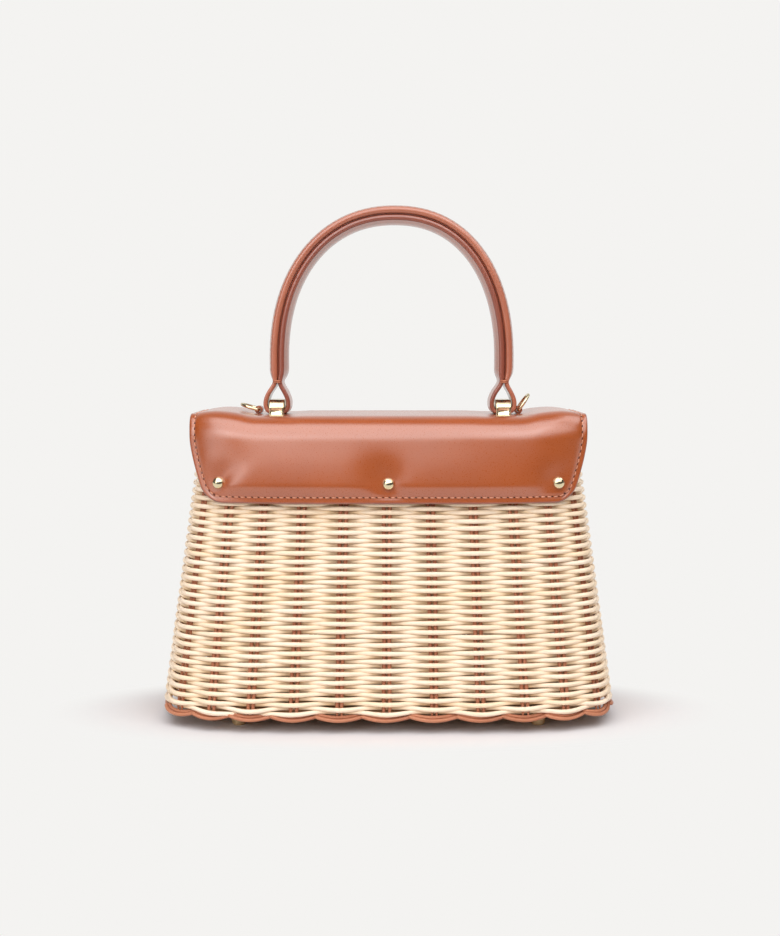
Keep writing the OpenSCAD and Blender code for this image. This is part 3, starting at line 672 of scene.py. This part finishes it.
def flap_sheet():
    """One sheet from edge to edge: the outer skin, a half-round painted edge about its outline, and the
    lining a leather's thickness below. Gives the skin and each face's finish."""
    beside = 1 - np.array([0.0, 0.7, 1.3, 1.9, 2.4, 2.8, 3.2, 3.7, 4.3, 5.2, 6.5, 8.2]) / FLAP_HW
    share = np.concatenate([-beside, np.linspace(-1, 1, 97)[5:-5], beside[::-1]])
    s, share = np.meshgrid(flap_stations(12, 112), share, indexing="ij")
    x = share * flap_half(s)
    skin, normal = flap_skin(x, s), normal_of(flap_skin, x, s)
    ids = np.arange(x.size).reshape(x.shape)
    loop = np.concatenate([ids[0, :-1], ids[:-1, -1], ids[-1, :0:-1], ids[:0:-1, 0]])
    rim, n = skin.reshape(-1, 3)[loop], normal.reshape(-1, 3)[loop]
    away = unit(np.cross(unit(np.roll(rim, -1, 0) - np.roll(rim, 1, 0)), n))
    turn = np.linspace(0, np.pi, 7)[:, None, None]
    edge = rim - n * FLAP_T / 2 + FLAP_T / 2 * (np.cos(turn) * n + 0.75 * np.sin(turn) * away)
    flat = np.stack([x, s], -1).reshape(-1, 2)
    points, faces, _ = grid(skin, False, False)
    lining = grid(skin - normal * FLAP_T, False, False)[0]
    band = grid(edge, False, True)
    outer = (points, faces, flat[faces])
    inner = (lining, faces[:, ::-1], flat[faces[:, ::-1]])
    band = (band[0], band[1][:, ::-1], band[2][:, ::-1])
    finish_of = np.concatenate([np.full(len(part[1]), k) for k, part in enumerate((outer, band, inner))])
    return joined(outer, band, inner), finish_of


def seam(inset, pitch):
    """Places of the stitches: the flap's outline in X and length, moved in by the inset, and stepped by
    the pitch. Gives X and length at each step, and both again a little further on."""
    s = flap_stations(24, 160)
    half = flap_half(s)
    foot = np.linspace(-1, 1, 120)[1:-1]
    line = np.concatenate([np.stack([half, s], -1), np.stack([-foot * half[-1], FLAP_L + 0 * foot], -1),
                           np.stack([-half, s], -1)[::-1], np.stack([foot * half[0], 0 * foot], -1)])
    ahead = unit(np.roll(line, -1, 0) - np.roll(line, 1, 0))
    line = line + inset * np.stack([-ahead[:, 1], ahead[:, 0]], -1)
    line = np.concatenate([line, line[:1]])
    length = run(line)
    at = np.linspace(0, length[-1], int(length[-1] / pitch), endpoint=False)
    here = [np.interp(at, length, v) for v in line.T]
    further = [np.interp((at + 0.3) % length[-1], length, v) for v in line.T]
    return *here, *further


def stitches(points, normal, ahead, long, thick, lift=0.42):
    """Sewn thread: each stitch is a short rod along the line, arched by the fourth power of the way from
    its middle, so that both ends go down into the holes."""
    t = np.linspace(-1, 1, 7)
    path = (points[:, None] + ahead[:, None] * (long / 2 * t)[None, :, None]
            + normal[:, None] * (thick * (lift - 1.1 * t ** 4))[None, :, None])
    side = np.broadcast_to(np.cross(ahead, normal)[:, None], path.shape)
    up = np.broadcast_to(normal[:, None], path.shape)
    return sweep(path, side, up, circle(6, thick, thick * 0.8) * end_size(len(t), 0.8), False)


def holes(points, normal, ahead, long, wide):
    """Punched holes between stitches, as painted shade: small dark lozenges that sit on the skin, highest
    in the middle, standing for the shade inside each hole."""
    side = np.cross(ahead, normal)
    ring = circle(8, 1.0, 1.0)
    size = np.array([1.0, 0.6, 0.0])[None, :, None, None]
    rise = np.array([0.02, 0.16, 0.2])[None, :, None, None]
    flat = ring[:, 0:1] * long * ahead[:, None, None] + ring[:, 1:2] * wide * side[:, None, None]
    return grid(points[:, None, None] + size * flat + rise * normal[:, None, None], False, True)


flap_skins, flap_finish = flap_sheet()
flap = piece("leather_flap", flap_skins, [tan_leather, dark_edge_and_shade, suede], finish_of=flap_finish,
             weld=True)
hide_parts("rear_panel", "rear_lining", "lid_leather", "lid_lining")
seam_x, seam_s, further_x, further_s = seam(SEAM_IN, SEAM_PITCH)
seam_points, seam_normal = flap_skin(seam_x, seam_s), normal_of(flap_skin, seam_x, seam_s)
seam_ahead = unit(flap_skin(further_x, further_s) - seam_points)
seam_thread = stitches(seam_points, seam_normal, seam_ahead, STITCH_L, STITCH_D)
flap_thread = piece("flap_stitches", seam_thread, [thread])
hole_ahead = unit(seam_ahead + 0.7 * np.cross(seam_ahead, seam_normal))
seam_holes = holes(seam_points + seam_ahead * SEAM_PITCH / 2, seam_normal, hole_ahead, HOLE_L, HOLE_W)
flap_holes = piece("flap_stitch_holes", seam_holes, [hole_shade])
for soft in (flap, flap_thread, flap_holes):
    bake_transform(soft)


# Handle

def rounded(points, count):
    """A smooth line through given points: on each span a cubic whose slope at a point is half the way
    from the point before to the point after."""
    p = np.concatenate([[2 * points[0] - points[1]], points, [2 * points[-1] - points[-2]]])
    t = np.linspace(0, 1, count, endpoint=False)[None, :, None]
    a, b, c, d = (p[k:len(p) - 3 + k, None] for k in range(4))
    square, cube = 2 * a - 5 * b + 4 * c - d, 3 * b - a - 3 * c + d
    line = 0.5 * (2 * b + (c - a) * t + square * t ** 2 + cube * t ** 3)
    return np.concatenate([line.reshape(-1, points.shape[1]), points[-1:]])


def handle_side(layer):
    """Half of the strap's line on the right, from the top of the arch down to the knot, in X, Z,
    thickness and crown: a squared elliptical arch, then a leg that closes in by a quarter sine. The
    outer layer lies half its thickness outside that line, and the softer inner layer half its thickness
    inside."""
    a = np.linspace(np.pi / 2, 0, 90)
    q = np.linspace(1, 0, 16)[1:]
    leg_x = HANDLE_X + (ARCH_W - HANDLE_X) * np.sin(np.pi / 2 * q)
    leg_z = KNOT_Z + 1.0 + (SPRING_Z - KNOT_Z - 1.0) * q
    x = np.concatenate([ARCH_W * np.cos(a) ** (2 / ARCH_N), leg_x])
    z = np.concatenate([SPRING_Z + ARCH_H * np.sin(a) ** (2 / ARCH_N), leg_z])
    slope = unit(np.stack([np.gradient(x), np.gradient(z)], -1))
    full, crown = LAYERS[layer]
    knot_t, knot_crown = KNOT_STRAP
    pinch = step(z, KNOT_Z, KNOT_Z + PINCH_H)
    thick = knot_t + (full - knot_t) * pinch
    crown = knot_crown + (crown - knot_crown) * pinch
    off = layer * (thick / 2 + KNOT_GAP + GAP_MORE * pinch)
    return np.stack([x - slope[:, 1] * off, z + slope[:, 0] * off, thick, crown], -1)


def leaned(line):
    """The line set over to the right: all of it a little, the legs by a step at the knot, and the arch
    by the cube of the height above it."""
    high = np.clip((line[:, 1] - KNOT_Z) / (SPRING_Z + ARCH_H - KNOT_Z), 0, 1)
    line[:, 0] += EYE_SHIFT + LEG_SHIFT * step(line[:, 1], LEGS_FROM, LEGS_FULL) + ARCH_SHIFT * high ** 3
    return line


def handle_line():
    """The whole closed line: over the outer arch, down the right leg, round the right eye, back over the
    inner arch and round the left eye. One strap does all this, so its outer face is the same all the
    way."""
    half = np.array([[1.9, 17.6], [4.1, 14.4], [5.9, 11.0], [6.85, 7.9], [6.85, 5.0], [6.0, 2.7],
                     [4.1, 1.7]])
    eye = rounded(np.concatenate([half, [[0.0, 1.5]], half[::-1] * [-1, 1]]) + [0.0, LID_Z], 7)
    eye = np.concatenate([eye + [HANDLE_X, 0], np.broadcast_to(EYE_STRAP, eye.shape)], 1)
    right = np.concatenate([handle_side(1), eye, handle_side(-1)[::-1]])
    line = np.concatenate([right, right[-2:0:-1] * [-1, 1, 1, 1]])
    closed = np.concatenate([line, line[:1]])
    length = run(closed[:, :2])
    at = np.linspace(0, length[-1], 640, endpoint=False)
    values = np.stack([np.interp(at, length, v) for v in closed.T], -1)
    for _ in range(3):
        values = (np.roll(values, 1, 0) + 2 * values + np.roll(values, -1, 0)) / 4
    return leaned(values)


def upright(line):
    """A line of X and Z as points in the middle of the bag, and the direction across it, along Y."""
    path = np.stack([line[:, 0], 0 * line[:, 0], line[:, 1]], -1)
    return path, np.broadcast_to(ALONG_Y, path.shape)


def strap_section(thick, crown):
    """Section of a strap at each station: flat on the inside, crowned on the outside by a parabola, with
    edges rounded by nearly half the thickness. Points run along the outside, round an edge, back and
    round the other. Gives the section and which of its points lie on an edge."""
    half, r = STRAP_W / 2, EDGE_SHARE * thick[:, None]
    bend = np.linspace(0, np.pi / 2, 6)
    flat = np.linspace(-1, 1, 9)[1:-1] * (half - r)
    round_y, round_n = half - r + r * np.sin(bend), r * np.cos(bend) - r
    arch = crown[:, None] * np.clip(1 - (np.concatenate([flat, round_y], 1) / (half - r)) ** 2, 0, None)
    top = np.concatenate([0 * flat, round_n], 1) + arch + thick[:, None] / 2
    low = np.concatenate([-round_n[:, ::-1], 0 * flat, -round_n], 1) - thick[:, None] / 2
    end = round_n[:, ::-1] + thick[:, None] / 2
    y = np.concatenate([flat, round_y, round_y[:, ::-1], -flat, -round_y, -round_y[:, ::-1]], 1)
    return np.stack([np.concatenate([top, low, end], 1), y], -1), np.abs(y[0]) > half - 1.02 * r[0]


strap = handle_line()
strap_path, strap_over = upright(strap)
strap_out = np.cross(strap_over, unit(np.roll(strap_path, -1, 0) - np.roll(strap_path, 1, 0)))
strap_out = strap_out * np.sign(strap_out[0, 2])


def looped_handle():
    """The strap along its closed line. Its painted edges are darker on the inner layer, where the strap's
    outside faces the middle of the arch: a darker finish there is painted shade on those edges."""
    section, on_edge = strap_section(strap[:, 2], strap[:, 3])
    inner_layer = (strap_out * (strap_path - [0.0, 0.0, SPRING_Z])).sum(1) < 0
    # Index 2, the darker finish, paints shade on the inner layer's edges
    finish_of = (on_edge & np.roll(on_edge, -1)) * np.where(inner_layer, 2, 1)[:, None]
    piece("looped_handle", sweep(strap_path, strap_out, strap_over, section, True),
          [tan_leather, edge_paint, dark_edge_and_shade], "lid", ["handle"], finish_of=finish_of.ravel())


def handle_core():
    """Flat oval core along the line between the two layers, from knot to knot, closed at both ends."""
    side = handle_side(0)[:, :2]
    path, over = upright(leaned(np.concatenate([side[:0:-1] * [-1, 1], side])))
    out = np.cross(over, unit(np.gradient(path, axis=0)))
    section = circle(12, CORE_T, STRAP_W - CORE_IN) * end_size(len(path), 1.0)
    # The core's dark finish paints the shade in the groove between the two layers
    piece("handle_core", sweep(path, out, over, section, False), [dark_edge_and_shade], "lid")


def handle_stitches():
    """A row of stitches along each edge of the strap, above the knots, and two stitches over each
    knot."""
    station = np.arange(len(strap))
    pace = np.linalg.norm(strap_path - np.roll(strap_path, 1, 0), axis=1).mean()
    sewn = np.arange(0, len(strap) * pace, SEW_PITCH) / pace
    sewn = sewn[np.interp(sewn, station, strap_path[:, 2]) > KNOT_Z + 2]
    point = np.stack([np.interp(sewn, station, v) for v in strap_path.T], -1)
    out = unit(np.stack([np.interp(sewn, station, v) for v in strap_out.T], -1))
    high = np.interp(sewn, station, strap[:, 2] / 2 + 0.21 * strap[:, 3] - 0.06)
    rows = [point + out * high[:, None] + [0, side * (STRAP_W / 2 - SEW_IN), 0] for side in (-1, 1)]
    ahead = np.cross(out, ALONG_Y)
    seams = [stitches(row, out, ahead, SEW_L, SEW_D, SEW_SUNK) for row in rows]
    knots = np.array([[sx * HANDLE_X + EYE_SHIFT + 0.4, sy * (STRAP_W / 2 + 0.1), KNOT_Z + 1.1 + lift]
                      for sx in (-1, 1) for sy in (-1, 1) for lift in (-KNOT_STEP, KNOT_STEP)])
    facing = np.sign(knots[:, 1:2]) * ALONG_Y
    crossed = stitches(knots, facing, np.broadcast_to(ALONG_X, knots.shape), KNOT_L, KNOT_D)
    piece("handle_stitches", joined(joined(*seams), crossed), [tan_thread], "lid")


looped_handle()
handle_core()
handle_stitches()


# Metal

def placed(origin, turn_x, turn_z):
    """4x4 place: turned about X, then about Z, then moved to a point."""
    turn = Matrix.Rotation(turn_z, 4, "Z") @ Matrix.Rotation(turn_x, 4, "X")
    return np.array(Matrix.Translation(origin) @ turn)


def dome(radius, height, count):
    """Quarter of an ellipse, from its rim to its top, as radius and height."""
    a = np.linspace(0, np.pi / 2, count)
    return np.stack([radius * np.cos(a), height * np.sin(a)], -1)


def stud_caps():
    """Domed heads of the three studs: a flat back, a narrow lip and a dome, turned about each stud's
    axis."""
    back = [[0.0, 0.0], [2.9, 0.0], [3.55, 0.06]]
    profile = np.concatenate([back, dome(STUD_R, STUD_H, 14) + [0.0, 0.12]])
    places = [placed(p, np.pi / 2 - LEAN, t) for p, t in zip(STUDS, STUD_TURN)]
    heads = joined(*[turned(profile, 40, place) for place in places])
    piece("stud_caps", heads, [pale_brass], "basket", weld=True)


def d_ring(x, lift, side):
    """Bent wire ring: a straight bar, two short legs and a half circle between them, as one closed line,
    turned about its bar."""
    half, leg, r = RING_HALF, RING_LEG, RING_CORNER
    a = np.linspace(-np.pi / 2, np.pi / 2, 25)
    b = np.linspace(0, np.pi / 2, 6)
    bar = np.linspace(-half + r, half - r, 9)[::-1]
    line = np.concatenate([
        np.stack([leg + half * np.cos(a), half * np.sin(a)], -1),
        np.stack([np.linspace(leg, r, 5)[1:-1], np.full(3, half)], -1),
        np.stack([r - r * np.sin(b), half - r + r * np.cos(b)], -1),
        np.stack([0 * bar, bar], -1)[1:-1],
        np.stack([r - r * np.cos(b), -half + r - r * np.sin(b)], -1),
        np.stack([np.linspace(r, leg, 5)[1:-1], np.full(3, -half)], -1)])
    reach = np.array([side * np.cos(lift), 0.0, np.sin(lift)])
    path = np.array([x, 0.0, RING_Z]) + line[:, 0:1] * reach + line[:, 1:2] * ALONG_Y
    face = np.broadcast_to(np.cross(reach, ALONG_Y), path.shape)
    ahead = unit(np.roll(path, -1, 0) - np.roll(path, 1, 0))
    return sweep(path, np.cross(face, ahead), face, circle(12, RING_WIRE, RING_WIRE), True)


def bridge(x):
    """Cast staple: a rounded bar carried up one leg, over two chamfers and down the other leg. Its outer
    and its inner line are given by points in Y and Z, and a shallow framed panel is sunk into each leg's
    outer face. The ends of the legs, in the slots of the backing plates, are left open."""
    flat, deep, leg = BRIDGE_TOP - 4.0, LID_Z - 3.6, BRIDGE_Y - LEG_T
    panel = np.array([LID_Z + 0.9, LID_Z + 1.1, flat - 1.3, flat - 1.1])
    outer = [[BRIDGE_Y, deep], *[[BRIDGE_Y, z] for z in panel], [BRIDGE_Y, flat - 0.3],
             [BRIDGE_Y - 0.22, flat + 0.22], [BRIDGE_Y - 3.78, BRIDGE_TOP - 0.22],
             [BRIDGE_Y - 4.3, BRIDGE_TOP]]
    inner = [[leg, deep], *[[leg, z] for z in np.minimum(panel, BAR_Z - 1.5)], [leg, BAR_Z - 0.9],
             [leg - 0.1, BAR_Z - 0.5], [leg - 0.6, BAR_Z], [leg - 1.8, BAR_Z]]
    outer, inner = (np.array(half + [[-y, z] for y, z in half[::-1]]) for half in (outer, inner))
    sunk = np.array([0, 0, 1, 1, 0, 0, 0, 0, 0]) * PANEL_SUNK
    sunk = np.concatenate([sunk, sunk[::-1]])[:, None]
    thick = np.linalg.norm(outer - inner, axis=1)[:, None]
    bend = np.linspace(0, np.pi / 2, 4)
    across = BRIDGE_W / 2 - BRIDGE_EDGE + BRIDGE_EDGE * np.sin(bend)
    edge = BRIDGE_EDGE * np.cos(bend) - BRIDGE_EDGE
    inset = BRIDGE_W / 2 - PANEL_FRAME
    face = np.array([-inset, 0.2 - inset, 0.0, inset - 0.2, inset])
    # Outer face and edge, inner edge and face, inner edge and outer edge, as one round
    side = np.concatenate([face, across, across[::-1], -face, -across, -across[::-1]])
    high = np.concatenate([0 * face, edge, -edge[::-1], 0 * face, -edge, edge[::-1]])
    level = np.repeat([0.5, -0.5, 0.5], [9, 13, 4])
    drop = np.zeros(len(side))
    drop[1:4] = 1
    up = high - drop * sunk + level * thick
    centre = np.stack([x + 0 * thick[:, 0], *(outer + inner).T / 2], -1)
    way = np.stack([0 * thick[:, 0], *unit(outer - inner).T], -1)
    over = np.broadcast_to(ALONG_X, centre.shape)
    return sweep(centre, over, way, np.stack([np.broadcast_to(side, up.shape), up], -1), False)


stud_caps()
for side, way in (("left", -1), ("right", 1)):
    piece(f"bridge_brass_{side}", bridge(EYE_SHIFT + way * HANDLE_X), [pale_brass], "lid",
          [f"bridge_{side}"])
for side, way, lift in (("left", -1, 17), ("right", 1, 55)):
    piece(f"ring_wire_{side}", d_ring(way * RING_X, np.radians(lift), way), [pale_brass],
          f"ring_{side}", [f"ring_{side}"])

slot_finish = {"rattan": natural_rattan, "stained_rattan": stained_rattan, "board": fibreboard,
               "brass": pale_brass, "steel": zinc, "leather": tan_leather, "suede": suede}
slot_of = {part["node"]: part["material_slot"] for part in frame["record"]["subparts"]}
for name, node in frame["nodes"].items():
    brass_foot = name.startswith("foot_") and slot_of[name] == "brass"
    node.data.materials.clear()
    node.data.materials.append(satin_brass if brass_foot else slot_finish[slot_of[name]])


# Stage, light and camera, in metres

GROUND = "#F4F3F1"
FLOOR_LEFT, FLOOR_RIGHT, FLOOR_NEAR, FLOOR_FAR = -6, 6, -0.55, 6
SHADOW_OVAL = (5.6, 12.5, 1.0)
BAG_MIDDLE, UNDER_LID = (0.0, 0.0, 0.12), (0.0, 0.0, 0.15)
PICTURE_HEIGHT, FOCAL_PIXELS, SENSOR = 936, 1400, 36.0
CAMERA_PLACE, CAMERA_DOWN = (0.0009, -0.860, 0.2238), 4.82


def studio_floor():
    """Pale floor. Inside an oval about the bag it shows its own light and shadow, and outside it fades
    to the plain ground colour, for the camera and in reflections."""
    made, tree, shader = finish("pale_studio_floor", Roughness=0.9, Specular_IOR_Level=0.1,
                                Base_Color=linear("#E2DEDF"))
    oval = add(tree, "Mapping", {"Vector": add(tree, "TexCoord")["Object"], "Scale": SHADOW_OVAL})
    far = add(tree, "VectorMath", {0: oval["Vector"]}, operation="LENGTH")
    fade = add(tree, "MapRange", {"Value": far["Value"], "From Min": 0.8, "From Max": 1.2},
               interpolation_type="SMOOTHSTEP")
    rays = add(tree, "LightPath")
    seen = add(tree, "Math", {0: rays["Is Camera Ray"], 1: rays["Is Glossy Ray"]}, operation="ADD")
    seen = add(tree, "Math", {0: seen["Value"], 1: rays["Is Transmission Ray"]}, operation="ADD")
    share = add(tree, "Math", {0: seen["Value"], 1: fade["Result"]}, operation="MULTIPLY")
    glow = add(tree, "Emission", {"Color": linear(GROUND), "Strength": 1.0})
    mixed = add(tree, "MixShader", {"Fac": share["Value"], 1: shader.outputs["BSDF"], 2: glow["Emission"]})
    tree.links.new(mixed["Shader"], tree.nodes["Material Output"].inputs["Surface"])
    mesh = bpy.data.meshes.new("studio_floor")
    mesh.from_pydata([(FLOOR_LEFT, FLOOR_NEAR, 0), (FLOOR_RIGHT, FLOOR_NEAR, 0),
                      (FLOOR_RIGHT, FLOOR_FAR, 0), (FLOOR_LEFT, FLOOR_FAR, 0)], [], [(0, 1, 2, 3)])
    mesh.materials.append(made)
    floor = bpy.data.objects.new("studio_floor", mesh)
    bpy.context.scene.collection.objects.link(floor)


def studio_world():
    """Dim room in front that brightens to a pale backdrop behind the bag. The camera sees the plain
    ground colour instead, also through gaps."""
    world = bpy.data.worlds.new("studio")
    bpy.context.scene.world = world
    world.use_nodes = True
    tree = world.node_tree
    sky = tree.nodes["Background"]
    sky.inputs["Color"].default_value = linear("#F6F4F2")
    look = add(tree, "SeparateXYZ", {"Vector": add(tree, "TexCoord")["Generated"]})
    backdrop = ramp(tree, look["Y"], 0.3, 0.98, 0.1, 0.95)
    tree.links.new(backdrop, sky.inputs["Strength"])
    seen_sky = add(tree, "Background", {"Color": linear(GROUND), "Strength": 1.0})
    rays = add(tree, "LightPath")
    seen = add(tree, "Math", {0: rays["Is Camera Ray"], 1: rays["Is Transmission Ray"]}, operation="ADD")
    mixed = add(tree, "MixShader", {"Fac": seen["Value"], 1: sky.outputs["Background"],
                                    2: seen_sky["Background"]})
    tree.links.new(mixed["Shader"], tree.nodes["World Output"].inputs["Surface"])


def softbox(name, place, aim, width, height, power):
    """A rectangular soft light at a place, turned to face its aim."""
    lamp = bpy.data.lights.new(name, "AREA")
    lamp.shape, lamp.size, lamp.size_y, lamp.energy = "RECTANGLE", width, height, power
    made = bpy.data.objects.new(name, lamp)
    bpy.context.scene.collection.objects.link(made)
    made.location = place
    made.rotation_euler = (Vector(aim) - Vector(place)).to_track_quat("-Z", "Y").to_euler()


def front_camera():
    """Camera in front of the riveted face, looking a little down."""
    lens = bpy.data.cameras.new("camera")
    lens.sensor_width = SENSOR
    lens.lens = FOCAL_PIXELS / PICTURE_HEIGHT * SENSOR
    camera = bpy.data.objects.new("camera", lens)
    bpy.context.scene.collection.objects.link(camera)
    camera.location = CAMERA_PLACE
    camera.rotation_euler = (np.radians(90 - CAMERA_DOWN), 0.0, 0.0)
    bpy.context.scene.camera = camera


bpy.context.scene.view_settings.view_transform = "Standard"
studio_floor()
studio_world()
softbox("key_softbox", (-0.166, -0.731, 1.319), BAG_MIDDLE, 1.9, 1.65, 23.5)
softbox("top_softbox", (0.85, 0.1, 1.15), UNDER_LID, 0.7, 0.7, 3.0)
softbox("low_softbox", (-0.45, -1.35, 0.74), BAG_MIDDLE, 1.2, 0.5, 4.0)
softbox("left_softbox", (-1.4, -1.3, 0.6), BAG_MIDDLE, 0.9, 1.2, 5.4)
softbox("right_softbox", (1.25, -1.25, 1.45), BAG_MIDDLE, 1.6, 1.2, 11.0)
front_camera()

bpy.context.view_layer.update()
